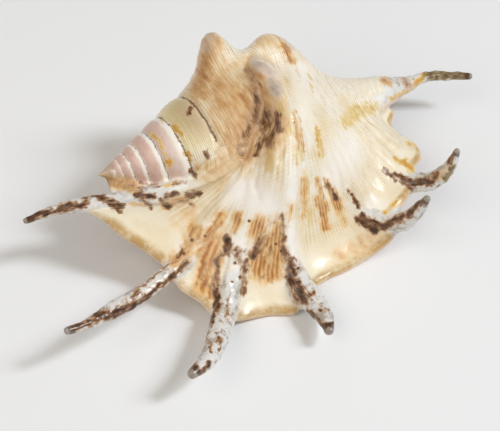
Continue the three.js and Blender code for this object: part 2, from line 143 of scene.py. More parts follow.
# The sizes of the colour patterns
THREAD_PITCH, LIP_THREAD_PITCH, STRIA_PITCH = 0.9, 0.45, 1.3
WAVE_SIZE, STREAK_SIZE, FINE_STREAK_SIZE = 7.0, 1.6, 0.55
BLOTCH_SIZE, STAIN_SIZE, BROAD_SIZE = 2.6, 5.5, 18.0

# The camera stands where the photo seems to be taken from; the last row is in pixels
VIEW_AZIMUTH, VIEW_ELEVATION, VIEW_DISTANCE = -25.0, 50.0, 500.0
VIEW_TARGET = np.array([-5.0, -26.4, 15.4])
PICTURE_WIDTH, PICTURE_HEIGHT, FOCAL_LENGTH = 500, 431, 1420.0


def smooth(x):
    t = np.clip(x, 0, 1)
    return t * t * (3 - 2 * t)


def along(keys, x):
    """Smooth curve through keys (x, value, ...) at every x."""
    keys = np.array(keys, float)
    xs, ys = keys[:, 0], keys[:, 1:]
    x = np.asarray(x, float)
    flat = x.ravel()
    i = np.clip(np.searchsorted(xs, flat, side="right") - 1, 0, len(xs) - 2)
    rate = np.diff(ys, axis=0) / np.diff(xs)[:, None]
    tangent = np.concatenate([rate[:1], (rate[:-1] + rate[1:]) / 2, rate[-1:]])
    width = (xs[i + 1] - xs[i])[:, None]
    t = np.clip((flat - xs[i])[:, None] / width, 0, 1)
    out = (ys[i] * (2 * t**3 - 3 * t**2 + 1) + tangent[i] * width * (t**3 - 2 * t**2 + t)
           + ys[i + 1] * (-2 * t**3 + 3 * t**2) + tangent[i + 1] * width * (t**3 - t**2))
    return out[:, 0].reshape(x.shape) if ys.shape[1] == 1 else out.reshape(x.shape + (ys.shape[1],))


def by_length(points):
    """Points as keys, by their share of the length of the line through them."""
    points = np.array(points, float)
    sums = np.concatenate([[0], np.cumsum(np.linalg.norm(np.diff(points, axis=0), axis=1))])
    return np.column_stack([sums / sums[-1], points])


def unit(v):
    return v / np.maximum(np.linalg.norm(v, axis=-1, keepdims=True), 1e-9)


# The coiled body
def suture_distance(angle):
    return SUTURE_DISTANCE * WHORL_RATIO ** ((np.asarray(angle, float) - SUTURE_ANGLE) / 360)


def axis_point(distance):
    return np.stack([APEX[0] + distance, along(AXIS_Y, distance), along(AXIS_Z, distance)], -1)


def around(angle):
    a = np.radians(angle)
    return np.stack([0 * a, np.cos(a), np.sin(a)], -1)


def lump_height(angle, distance):
    total = 0.0
    for a, d, height, half_angle, half_width, square in LUMPS:
        away = ((angle - a) / half_angle)**2 + ((distance - d) / half_width)**2
        total = total + height * np.exp(-away ** square)
    return total * smooth((angle + 250) / 60)


def plain_radius(angle, distance):
    suture = suture_distance(angle)
    after = suture * WHORL_RATIO
    across = np.clip(np.log(np.maximum(distance, 1e-6) / suture) / math.log(WHORL_RATIO), 0, 1)
    swell = 0.066 * np.sin(math.pi * across)**0.8 - 0.03 * np.exp(-across / 0.06)
    age = smooth((angle + 210) / 150)
    radius = SPIRE_SLOPE * np.minimum(distance, after) * (1 + swell * (1 - 0.3 * age))
    front = np.clip((distance - after) / (FRONT_DISTANCE - after), 0, 1)
    return radius * np.where(distance > after, along(TAPER, front), 1.0)


def body_point(angle, distance, lumps=True):
    angle, distance = np.broadcast_arrays(np.asarray(angle, float), np.asarray(distance, float))
    radius = plain_radius(angle, distance)
    if lumps:
        radius = radius + lump_height(angle, distance)
    return axis_point(distance) + radius[..., None] * around(angle)


def ribbon_distance(angle, t):
    """t is 0 at this turn's suture, 1 at the next one, and 2 at the front end."""
    suture = suture_distance(angle)
    after = suture * WHORL_RATIO
    on_front = after + np.clip(t - 1, 0, 1) * (FRONT_DISTANCE - after)
    return np.where(t <= 1, suture * WHORL_RATIO**np.clip(t, 0, 1), on_front)


def coiled_body(n=140, across=14, front=60):
    """One ribbon wound from the apex to the lip, closed at both ends."""
    columns, rows = TURNS * n, across + front
    angles = END_ANGLE - 360.0 * (columns - np.arange(columns + 1)) / n
    ts = np.concatenate([np.linspace(0, 1, across + 1), 1 + np.linspace(0, 1, front + 1)[1:]**1.3])
    keys, index, faces = [], {}, []

    def vertex(m, j):
        if j == across and m + n <= columns:
            m, j = m + n, 0
        if (m, j) not in index:
            index[(m, j)] = len(keys)
            keys.append((angles[m], ts[j]))
        return index[(m, j)]

    for m in range(columns):
        for j in range(across if m < columns - n else rows):
            a, b, c, d = vertex(m, j), vertex(m + 1, j), vertex(m + 1, j + 1), vertex(m, j + 1)
            faces += [(a, b, c), (a, c, d)]
    places = np.array(keys)
    points = body_point(places[:, 0], ribbon_distance(places[:, 0], places[:, 1]))
    apex = len(points)
    ring = [vertex(m, rows) for m in range(columns - n, columns + 1)]
    points = np.concatenate([points, [APEX + [-0.3, 0, 0]], [points[ring].mean(0) + [1.5, 0, 0]]])
    faces += [(vertex(m + 1, 0), vertex(m, 0), apex) for m in range(n)]
    faces += [(vertex(0, j), vertex(0, j + 1), apex) for j in range(across)]
    faces += [(a, b, apex + 1) for a, b in zip(ring[:-1], ring[1:])]
    inner = [vertex(columns - n, j) for j in range(across, rows + 1)]
    outer = [vertex(columns, j) for j in range(rows + 1)]
    faces += fill_between(inner, outer, points)
    faces.append((outer[-1], inner[-1], apex + 1))
    return points, np.array(faces)


def fill_between(inner, outer, points):
    """Triangles between two edges that start at one shared vertex."""
    shares = [by_length(points[chain])[:, 0] for chain in (inner, outer)]
    faces, i, o = [], 0, 0
    while i < len(inner) - 1 or o < len(outer) - 1:
        if o < len(outer) - 1 and (i == len(inner) - 1 or shares[1][o + 1] <= shares[0][i + 1]):
            if inner[i] != outer[o]:
                faces.append((inner[i], outer[o + 1], outer[o]))
            o += 1
        else:
            if inner[i] != outer[o]:
                faces.append((inner[i], inner[i + 1], outer[o]))
            i += 1
    return faces


def loft(rings):
    """A closed solid through equal closed rings of points, with flat ends."""
    count, sides = rings.shape[:2]
    points = np.concatenate([rings.reshape(-1, 3), [rings[0].mean(0)], [rings[-1].mean(0)]])
    i, j = np.meshgrid(np.arange(count - 1), np.arange(sides), indexing="ij")
    a, b = (i * sides + j).ravel(), (i * sides + (j + 1) % sides).ravel()
    faces = np.concatenate([np.column_stack([a, b, b + sides]), np.column_stack([a, b + sides, a + sides])])
    k = np.arange(sides)
    start, end, base = count * sides, count * sides + 1, (count - 1) * sides
    faces = np.concatenate([faces, np.column_stack([0 * k + start, (k + 1) % sides, k]),
                            np.column_stack([0 * k + end, base + k, base + (k + 1) % sides])])
    a, b, c = (points[faces[:, n]] for n in range(3))
    return points, faces if np.einsum("ij,ij->i", a, np.cross(b, c)).sum() > 0 else faces[:, ::-1]


def grid_normals(grid):
    n = unit(np.cross(np.gradient(grid, axis=1), np.gradient(grid, axis=0)))
    return n if n[..., 2].mean() > 0 else -n


def sheet(grid, thickness, edge):
    """A closed sheet set inwards from its outer face's grid of points, with a rounded last edge."""
    normals = grid_normals(grid)
    thick = thickness[..., None]
    outwards = unit(grid[:, -1] - grid[:, -2])
    middle = grid[:, -1] - normals[:, -1] * thick[:, -1] / 2
    turn = np.linspace(0, math.pi, edge + 1)[1:-1]
    rim = [middle + (normals[:, -1] * math.cos(a) + outwards * math.sin(a)) * thick[:, -1] / 2 for a in turn]
    inner = (grid - normals * thick)[:, ::-1]
    return loft(np.concatenate([grid, np.stack(rim, 1), inner], 1))


# The lip
MARGIN_KEYS = by_length(MARGIN)


def lip_point(share, across):
    """The lip's outer face: share runs along the margin, across from 0 at the body to 1 at the margin."""
    share, across = np.broadcast_arrays(np.asarray(share, float), np.asarray(across, float))
    row = along(LEAVING, share)
    angle, distance, lean = row[..., 0], row[..., 1], row[..., 2]
    start = body_point(angle, distance, False)
    a = np.radians(angle)
    leave = unit(np.stack([lean, -np.sin(a), np.cos(a)], -1))
    end = along(MARGIN_KEYS, share)
    arrive = unit(row[..., 5:8])
    w = np.clip(across, 0, 1)[..., None]
    second, third = start + leave * row[..., 3:4], end - arrive * row[..., 4:5]
    curve = start * (1 - w)**3 + 3 * second * w * (1 - w)**2 + 3 * third * w * w * (1 - w) + end * w**3
    curve = curve + around(angle) * lump_height(angle + 55 * np.clip(across, 0, 1), distance)[..., None]
    # Below 0 it runs on into the body's wall
    back = np.minimum(across, 0)
    turned = angle + back * 60
    inside = body_point(turned, distance + back * 15.7 * lean) + around(turned) * (back * 4.5)[..., None]
    return np.where((across < 0)[..., None], inside, curve)


def lip_grid(along_lip=300, across_lip=56, into_wall=8):
    """Rows of the lip's outer face, and how far across it each of their points is."""
    buried = np.linspace(-0.25, 0, into_wall + 1)[:-1]
    steps = np.concatenate([buried, np.linspace(0, 1, across_lip + 1)])
    share, across = np.meshgrid(np.linspace(0, 1, along_lip), steps, indexing="ij")
    return across, lip_point(share, across)


def lip():
    across, grid = lip_grid()
    return sheet(grid, LIP_THICKNESS + MARGIN_THICKENING * smooth((across - 0.75) / 0.25), 10)


def spire_web():
    """The thin wall that fills between the spire and the first digit."""
    line = [(p[0],) + p for p in DIGITS[0][0][::-1]]
    x = np.linspace(-49, -14, 60)
    distance = x - APEX[0]
    spire = axis_point(distance) + (SPIRE_SLOPE * distance * 0.9 - 0.6)[:, None] * around(np.full(60, 172.0))
    digit = along(line, x)
    v = np.linspace(0, 1, 13)[None, :, None]
    grid = spire[:, None] * (1 - v) + digit[:, None] * v
    grid[..., 2] -= 1.2 * np.sin(math.pi * v[..., 0])
    return sheet(grid, np.full(grid.shape[:2], 2.0), 4)


def digit_rings(path, radii, steps=90, sides=28):
    share = np.linspace(0, 1, steps + 1)
    centre = along(by_length(path), share)
    radius = along(radii, share)
    tangent = unit(np.gradient(centre, axis=0))
    side = unit(np.cross(tangent, [0, 0, 1.0]))
    up = np.cross(side, tangent)
    turn = np.linspace(0, 2 * math.pi, sides, endpoint=False)
    direction = np.cos(turn)[None, :, None] * side[:, None] + np.sin(turn)[None, :, None] * up[:, None]
    rings = centre[:, None] + radius[:, None, None] * direction
    for forward, narrow in ((0.3, 0.93), (0.55, 0.76), (0.72, 0.5)):
        ring = centre[-1] + tangent[-1] * radius[-1] * forward + radius[-1] * narrow * direction[-1]
        rings = np.concatenate([rings, [ring]])
    return rings


def hollow():
    """The space inside the last whorl, open under the lip."""
    rings, steps = [], np.linspace(0, 1, 50)
    for angle in np.linspace(HOLLOW_START, END_ANGLE + 4, 60):
        grown = float(smooth((angle - HOLLOW_START) / 60))
        near_lip = float(smooth((angle - 100) / 30))
        start = suture_distance(angle) * WHORL_RATIO * 0.97 + (1 - grown) * 8 + 6 * near_lip
        distance = start + (106 - (1 - grown) * 18 - start) * steps
        outer = plain_radius(angle, distance) - WALL
        inner = plain_radius(angle - 360, distance) * (0.86 + 0.14 * float(smooth((angle - 40) / 90))) + 0.2
        opened = np.maximum(np.sin(math.pi * steps), 0)**0.6
        half = np.maximum((outer - inner) / 2, 0.3) * np.maximum(opened, 0.05) * (0.3 + 0.7 * grown)
        direction = around(np.full(50, angle))
        centre = axis_point(distance)
        rings.append(np.concatenate([centre + ((outer + inner) / 2 + half)[:, None] * direction,
                                     (centre + ((outer + inner) / 2 - half)[:, None] * direction)[::-1]]))
    return loft(np.array(rings))


# Mesh work
def only(piece):
    bpy.ops.object.select_all(action="DESELECT")
    piece.select_set(True)
    bpy.context.view_layer.objects.active = piece


def mesh_object(name, points, faces):
    mesh = bpy.data.meshes.new(name)
    mesh.from_pydata(((points - MIDDLE) * MM).tolist(), [], faces.tolist())
    mesh.update()
    piece = bpy.data.objects.new(name, mesh)
    bpy.context.scene.collection.objects.link(piece)
    return piece


def apply_modifier(piece, kind, **settings):
    only(piece)
    modifier = piece.modifiers.new(kind.title(), kind)
    for key, value in settings.items():
        setattr(modifier, key, value)
    bpy.ops.object.modifier_apply(modifier=modifier.name)


def combine(piece, other, operation):
    apply_modifier(piece, "BOOLEAN", operation=operation, solver="MANIFOLD", object=other)
    bpy.data.objects.remove(other)


def coordinates(piece):
    out = np.empty(len(piece.data.vertices) * 3)
    piece.data.vertices.foreach_get("co", out)
    return out.reshape(-1, 3) / MM + MIDDLE


def set_coordinates(piece, points):
    piece.data.vertices.foreach_set("co", ((points - MIDDLE) * MM).ravel())
    piece.data.update()


def edges(piece):
    out = np.empty(len(piece.data.edges) * 2, int)
    piece.data.edges.foreach_get("vertices", out)
    return out.reshape(-1, 2)


def normals(piece):
    out = np.empty(len(piece.data.vertices) * 3)
    piece.data.vertices.foreach_get("normal", out)
    return out.reshape(-1, 3)


def average(values, pairs, times, weight=1.0):
    """Moves values towards their neighbours' mean, weight of the way, times over."""
    count = len(values)
    number = np.maximum(np.bincount(pairs.ravel(), minlength=count), 1)
    flat = values.ndim == 1
    values = values.reshape(count, -1).astype(float)
    weight = np.broadcast_to(np.asarray(weight, float), (count,))[:, None]
    for _ in range(times):
        sums = [np.bincount(pairs[:, 0], column[pairs[:, 1]], count)
                + np.bincount(pairs[:, 1], column[pairs[:, 0]], count) for column in values.T]
        total = np.stack(sums, 1)
        values = values + weight * (total / number[:, None] - values)
    return values[:, 0] if flat else values


def tree_of(points):
    tree = kdtree.KDTree(len(points))
    for i, p in enumerate(points):
        tree.insert(p, i)
    tree.balance()
    return tree


def nearest(tree, points):
    found = [tree.find(p) for p in points]
    return np.array([f[1] for f in found]), np.array([f[2] for f in found])


def joined_shell():
    shell = mesh_object("spider_conch", *coiled_body())
    combine(shell, mesh_object("lip", *lip()), "UNION")
    combine(shell, mesh_object("web", *spire_web()), "UNION")
    combine(shell, mesh_object("bead", *loft(digit_rings(*SEAL, steps=40, sides=16))), "UNION")
    for path, radii in DIGITS:
        combine(shell, mesh_object("digit", *loft(digit_rings(path, radii))), "UNION")
    combine(shell, mesh_object("hollow", *hollow()), "DIFFERENCE")
    return shell


VOXEL = 0.6
TRIANGLES = 196000


def fine_surface(shell):
    apply_modifier(shell, "REMESH", mode="VOXEL", voxel_size=VOXEL * MM, adaptivity=0.0)
    points, pairs = coordinates(shell), edges(shell)
    # Fillets where the digits grow out of the lip
    digit_points = np.concatenate([digit_rings(*d, steps=60, sides=16).reshape(-1, 3) for d in DIGITS])
    _, grid = lip_grid(240, 60, 4)
    inner_face = grid - grid_normals(grid) * LIP_THICKNESS
    lip_points = np.concatenate([grid.reshape(-1, 3), inner_face.reshape(-1, 3)])
    _, from_digit = nearest(tree_of(digit_points), points)
    _, from_lip = nearest(tree_of(lip_points), points)
    join = smooth((3.2 - from_digit) / 2.0) * smooth((3.2 - from_lip) / 2.0)
    join = average(join, pairs, 6)
    points = average(points, pairs, 14, 0.08 + 0.75 * join)
    set_coordinates(shell, points)


# What the photo shows on the outer face, placed at pixels of the photo
# Colour patches: start x and y, end x and y, radius, strength. Some brown, tan and olive patches are painted
# shade, and one pale patch is painted light.
PATCHES = {
    "brown_and_shade": [
        # Some brown strokes are painted shade along the lower edge of the spire: those starting at (199,
        # 193), (176, 193), (154, 196), (172, 184), (140, 183), (95, 177) and (120, 182) darken the hollow
        # under the apex and the gap between the spire and the first digit.
        (191, 109, 189, 114, 2.2, 0.9), (206, 153, 208, 157, 2.5, 0.8), (199, 193, 188, 195, 3, 0.8),
        (176, 193, 166, 197, 3, 0.8), (154, 196, 136, 195, 3.2, 0.9), (181, 252, 178, 256, 2.2, 0.9),
        (186, 262, 170, 280, 3, 0.9), (149, 299, 110, 314, 3.5, 1), (138, 292, 134, 297, 3, 0.8),
        (228, 240, 226, 252, 5, 0.9), (236, 250, 240, 262, 4, 0.6), (246, 262, 243, 292, 3.5, 0.7),
        (262, 236, 254, 256, 4, 0.8), (290, 262, 292, 282, 5, 1), (327, 184, 337, 198, 2.5, 0.8),
        (404, 80, 410, 86, 2.5, 0.6), (190, 171, 194, 176, 2.2, 0.8), (172, 184, 186, 181, 2, 0.7),
        (140, 183, 160, 186, 1.6, 0.6), (96, 194, 106, 200, 4, 0.9), (106, 198, 122, 206, 3, 0.8),
        (112, 204, 120, 212, 2, 0.7), (144, 200, 150, 206, 2.5, 0.8), (160, 200, 168, 207, 3, 0.9),
        (172, 206, 186, 200, 2.2, 0.5), (186, 198, 194, 206, 1.8, 0.5), (216, 260, 217, 290, 3.5, 0.7),
        (248, 262, 243, 285, 3, 0.55), (224, 250, 249, 252, 3.5, 0.5), (282, 216, 284, 240, 3, 0.6),
        (285, 250, 297, 300, 5, 0.6), (150, 290, 176, 274, 2.5, 0.7), (276, 114, 279, 130, 4, 0.75),
        (261, 138, 256, 154, 3, 0.75), (95, 177, 98, 189, 1.6, 0.8), (120, 182, 141, 188, 1.6, 0.7),
        (191, 171, 195, 176, 2.6, 0.8), (42, 212, 28, 219, 4, 1), (44, 214, 86, 204, 3, 1),
        (44, 207, 75, 195, 1.5, 0.9), (60, 208, 75, 203, 3, 0.8), (84, 197, 87, 203, 2.5, 0.7),
        (94, 194, 105, 199, 3.2, 1), (101, 199, 118, 209, 2.6, 0.9), (74, 327, 97, 320, 3.4, 1),
        (96, 314, 108, 317, 5, 1), (106, 320, 150, 301, 2, 0.9), (80, 322, 92, 313, 1.5, 0.8),
        (126, 301, 132, 303, 3, 0.6), (118, 308, 126, 305, 3, 0.9), (216, 286, 217, 310, 3.6, 1),
        (213, 315, 200, 351, 2, 1), (219, 338, 219, 342, 2, 1), (211, 344, 210, 348, 1.8, 0.9),
        (222, 340, 220, 350, 1.8, 0.8), (210, 363, 200, 373, 2.6, 1), (196, 366, 190, 378, 2.6, 0.9),
        (230, 292, 226, 320, 1.6, 0.6), (297, 284, 305, 301, 4.4, 0.9), (306, 298, 313, 293, 2.4, 0.9),
        (309, 311, 313, 316, 3.2, 1), (319, 310, 329, 309, 1.6, 0.9), (316, 317, 320, 322, 2.4, 0.9),
        (321, 325, 333, 323, 2, 1), (325, 330, 331, 332, 2.8, 1), (357, 219, 376, 230, 4.2, 1),
        (362, 216, 383, 227, 3, 1), (383, 228, 402, 216, 3.8, 1), (408, 216, 414, 209, 3.8, 1),
        (416, 205, 420, 202, 3, 1), (396, 222, 404, 222, 2.4, 0.6), (383, 169, 395, 180, 1.8, 0.8),
        (396, 175, 416, 184, 3.4, 1), (403, 183, 412, 190, 2.2, 0.9), (416, 182, 431, 182, 4, 1),
        (436, 173, 431, 184, 2.8, 0.9), (449, 162, 452, 156, 3, 0.9), (348, 190, 354, 198, 2, 0.9),
        # The last brown stroke on the next line and the first one on the line after it, from (249, 66) to
        # (259, 122), are painted shade along the crease beside the big knob.
        (354, 199, 360, 208, 2, 0.9), (266, 116, 268, 138, 9, 0.74), (256, 84, 259, 122, 5, 0.66),
        (249, 66, 256, 88, 3.6, 0.45), (252, 116, 241, 152, 5, 0.55), (178, 271, 150, 293, 2.6, 0.95),
        (150, 293, 134, 304, 2, 0.75), (172, 262, 140, 287, 1.2, 0.7), (245, 152, 240, 162, 2, 0.5),
    ],
    "flame": [
        (222, 214, 214, 232, 4.5, 0.68), (238, 214, 234, 232, 4.5, 0.68), (210, 236, 198, 256, 4, 0.6),
        (206, 258, 202, 284, 7, 0.75), (218, 262, 210, 296, 5, 0.75), (258, 240, 256, 276, 6, 0.68),
        (268, 240, 270, 278, 6, 0.75), (279, 236, 280, 262, 5, 0.68), (292, 205, 288, 225, 4, 0.45),
        (303, 180, 305, 215, 4, 0.52), (318, 200, 326, 226, 5, 0.68), (325, 180, 340, 208, 4, 0.75),
        (131, 204, 146, 205, 2.5, 0.52), (160, 206, 168, 210, 2.5, 0.6),
        (200, 214, 212, 226, 2.5, 0.38), (283, 46, 294, 62, 4, 0.7), (297, 64, 300, 82, 2.5, 0.3),
        (318, 180, 326, 210, 3.5, 0.6), (332, 190, 345, 222, 4.5, 0.55), (196, 232, 178, 262, 10, 0.6),
        (212, 232, 205, 288, 11, 0.65), (259, 226, 262, 275, 11, 0.65), (273, 222, 276, 275, 8, 0.6),
        (294, 112, 299, 150, 1.6, 0.6), (299, 118, 304, 152, 1.5, 0.5), (284, 46, 291, 60, 4, 0.85),
    ],
    "tan_and_shade": [
        # Some tan patches are painted shade: the one in the hollow under the apex, the wide one over the big
        # knob beside its crease, and, in part, those on the first knob's left flank, which also has real tan
        # threads.
        (240, 120, 250, 148, 9, 0.9), (275, 40, 286, 50, 5, 0.5), (383, 80, 390, 83, 3.5, 0.9),
        # The second patch below is partly painted shade on the first knob's left flank and partly its own
        # tan.
        (222, 72, 236, 64, 5, 0.5), (205, 52, 209, 72, 6, 0.5), (225, 160, 212, 172, 5, 0.6),
        (250, 150, 240, 165, 6, 0.6), (200, 170, 214, 163, 6, 0.5), (170, 204, 182, 200, 5, 0.7),
        (222, 90, 240, 150, 20, 0.7), (262, 42, 280, 38, 7, 0.5), (170, 226, 200, 212, 9, 0.35),
        (214, 178, 240, 166, 13, 0.4), (272, 140, 268, 160, 8, 0.6), (244, 96, 254, 134, 8, 0.9),
        # The first patch below is painted shade in the hollow under the apex.
        (98, 180, 132, 186, 6, 1), (280, 84, 283, 132, 7, 0.6), (438, 178, 446, 170, 4, 0.4),
        # Painted shade over the big knob, beside its crease.
        (256, 72, 270, 140, 15, 0.85),
        # The first two patches below are partly painted shade on the first knob's left flank and partly its
        # own tan.
        (209, 42, 200, 90, 13, 0.85), (219, 60, 222, 90, 8, 0.5), (226, 92, 248, 148, 18, 0.75),
        (340, 256, 374, 238, 9, 0.5), (219, 128, 236, 150, 6, 0.5),
    ],
    "ochre": [
        (345, 122, 372, 108, 7, 0.6), (350, 112, 366, 106, 6, 0.6), (392, 99, 404, 94, 3, 1),
        (404, 94, 420, 80, 3, 1), (420, 79, 424, 74, 3, 0.9), (178, 127, 182, 134, 2.5, 0.9),
        (188, 152, 190, 160, 2.5, 1), (168, 160, 170, 166, 2.5, 1), (161, 117, 162, 120, 1.8, 0.7),
        (150, 133, 160, 142, 1.6, 0.9), (160, 142, 165, 155, 1.6, 0.9), (164, 186, 178, 182, 2.5, 0.7),
        (296, 120, 302, 160, 2.2, 0.6), (290, 130, 298, 165, 2.2, 0.5), (309, 72, 313, 92, 1.8, 0.5),
        (302, 170, 312, 225, 6, 0.4), (150, 216, 190, 236, 12, 0.25), (278, 98, 281, 112, 2, 0.5),
        (276, 150, 270, 168, 7, 0.35), (174, 126, 178, 131, 2.6, 1), (186, 153, 190, 155, 2.8, 1),
        (394, 158, 404, 164, 3, 0.8), (405, 162, 412, 170, 3.4, 1), (408, 143, 428, 150, 4, 0.6),
        (385, 212, 397, 201, 2, 0.9), (316, 127, 320, 155, 1.5, 0.9), (320, 130, 323, 158, 1.4, 0.8),
    ],
    "lilac": [
        (404, 79, 409, 85, 5, 1), (284, 40, 291, 48, 4, 0.6), (256, 62, 270, 70, 7, 0.7),
        (270, 80, 277, 92, 6, 0.8), (211, 36, 206, 50, 6, 0.4),
    ],
    "olive_and_shade": [
        # The last olive patch below, from (100, 181) to (128, 186), is painted shade in the hollow under the
        # apex.
        (428, 74, 472, 76, 5, 1), (445, 180, 454, 166, 2.4, 0.9), (100, 181, 128, 186, 5, 0.4),
    ],
    "pale": [
        (172, 260, 209, 226, 7, 0.9), (239, 268, 243, 236, 8, 0.9), (295, 268, 288, 224, 7, 0.9),
        (398, 214, 372, 205, 8, 0.8), (100, 192, 165, 197, 5, 0.8), (300, 168, 292, 196, 9, 0.8),
        (345, 150, 325, 190, 14, 0.6), (300, 70, 310, 140, 9, 0.5), (236, 240, 240, 250, 4, 0.8),
        # The last pale patch below, from (244, 192) to (268, 206), is painted light: it whitens the middle of
        # the body where its form turns into shade.
        (300, 276, 308, 286, 5, 0.7), (244, 192, 268, 206, 16, 1),
    ],
}
# Creases beside the knobs of the last whorl and beside three digits
# Each has its path in pixels, its depth in millimetres and its half width in pixels
CREASES = [
    ([(247, 57), (245, 67), (252, 79), (257, 91), (260, 103), (258, 115), (255, 128), (250, 142),
      (244, 158)], 1.5, 2.8),
    ([(260, 103), (261, 124), (259, 138), (255, 152)], 0.8, 2.4),
    ([(262, 52), (276, 61), (287, 78), (292, 97), (291, 114), (288, 128), (285, 143), (279, 160)], 0.9, 3.0),
    ([(181, 262), (206, 240), (226, 211)], 0.6, 2.4),
    ([(220, 285), (227, 262), (228, 243)], 0.6, 2.4),
    ([(283, 262), (281, 246), (284, 226)], 0.6, 2.4),
]
# Small dark pits, mostly on the ridges of the lip, in pixels
PITS = [(184, 254), (226, 246), (235, 263), (240, 277), (249, 221), (276, 244), (281, 251), (298, 268),
        (300, 282), (192, 240), (232, 282), (246, 270), (205, 236), (148, 197), (211, 352), (362, 213),
        (391, 176)]


def view_axes():
    a, e = math.radians(VIEW_AZIMUTH), math.radians(VIEW_ELEVATION)
    back = np.array([math.sin(a) * math.cos(e), -math.cos(a) * math.cos(e), math.sin(e)])
    right = np.array([math.cos(a), math.sin(a), 0.0])
    return back, right, np.cross(back, right)


def on_picture(points):
    """Where points fall on the photo in pixels, and how far in front of the camera they are."""
    back, right, up = view_axes()
    away = points - VIEW_TARGET - back * VIEW_DISTANCE
    depth = -(away @ back)
    x = PICTURE_WIDTH / 2 + FOCAL_LENGTH * (away @ right) / depth
    y = PICTURE_HEIGHT / 2 - FOCAL_LENGTH * (away @ up) / depth
    return np.stack([x, y], -1), depth


def in_sight(points, normal):
    """Places on the photo, and 1 for points that the camera sees, down to 0 for hidden ones."""
    places, depth = on_picture(points)
    cells = (places // 3).astype(int)
    _, group = np.unique(cells[:, 0] * 1000 + cells[:, 1], return_inverse=True)
    front = np.full(group.max() + 1, np.inf)
    np.minimum.at(front, group, depth)
    facing = smooth((normal @ view_axes()[0] + 0.30) / 0.45)
    return places, facing * (1 - smooth((depth - front[group] - 3.5) / 3))


def from_path(places, path):
    """Distance of every place from a path of straight stretches."""
    nearest_yet = np.full(len(places), np.inf)
    for start, end in zip(path[:-1], path[1:]):
        a, b = np.array(start, float), np.array(end, float)
        share = np.clip((places - a) @ (b - a) / max((b - a) @ (b - a), 1e-9), 0, 1)
        nearest_yet = np.minimum(nearest_yet, np.linalg.norm(places - a - share[:, None] * (b - a), axis=1))
    return nearest_yet


def patch_masks(places, seen):
    """How strongly each kind of patch covers every point."""
    masks = {}
    for kind, rows in PATCHES.items():
        cover = np.zeros(len(places))
        for x0, y0, x1, y1, radius, strength in rows:
            reach = from_path(places, [(x0, y0), (x1, y1)])
            cover = np.maximum(cover, strength * smooth((1.9 * radius - reach) / (1.8 * radius)))
        masks[kind] = cover * seen
    return masks


class Samples:
    """Points on the outer faces with the shell's own growth coordinates, to look values up by nearness."""

    def __init__(self):
        self.parts = []

    def add(self, grid, outward, **values):
        du, dv = np.gradient(grid, axis=0), np.gradient(grid, axis=1)
        normal = unit(np.cross(du, dv))
        normal *= np.sign(np.einsum("ijk,ijk->ij", normal, np.broadcast_to(outward, grid.shape)))[..., None]
        uu, uv, vv = (du * du).sum(-1), (du * dv).sum(-1), (dv * dv).sum(-1)
        over = np.maximum(uu * vv - uv * uv, 1e-6)
        columns = [grid, normal]
        for name in ("cord", "grow"):
            value = np.broadcast_to(values[name], grid.shape[:2])
            fu, fv = np.gradient(value, axis=0), np.gradient(value, axis=1)
            slope = ((fu * vv - fv * uv) / over)[..., None] * du
            slope = slope + ((fv * uu - fu * uv) / over)[..., None] * dv
            steep = np.linalg.norm(slope, axis=-1, keepdims=True)
            columns += [value[..., None], slope * np.minimum(1, 4 / np.maximum(steep, 1e-9))]
        for name in ("out", "digit", "pink", "band", "seam", "whorl", "callus"):
            columns.append(np.broadcast_to(values.get(name, 0.0), grid.shape[:2])[..., None])
        self.parts.append(np.concatenate(columns, -1).reshape(-1, 21))

    def build(self):
        self.table = np.concatenate(self.parts)
        self.tree = tree_of(self.table[:, :3])
        return self

    def look_up(self, points):
        index, _ = nearest(self.tree, points)
        row = self.table[index]
        away = points - row[:, :3]
        far = np.linalg.norm(away, axis=1, keepdims=True)
        near = away * np.minimum(1, 2.5 / np.maximum(far, 1e-9))
        out = {"cord": row[:, 6] + (row[:, 7:10] * near).sum(1),
               "grow": row[:, 10] + (row[:, 11:14] * near).sum(1),
               "depth": -(away * row[:, 3:6]).sum(1)}
        for k, name in enumerate(("out", "digit", "pink", "band", "seam", "whorl", "callus")):
            out[name] = row[:, 14 + k]
        return out


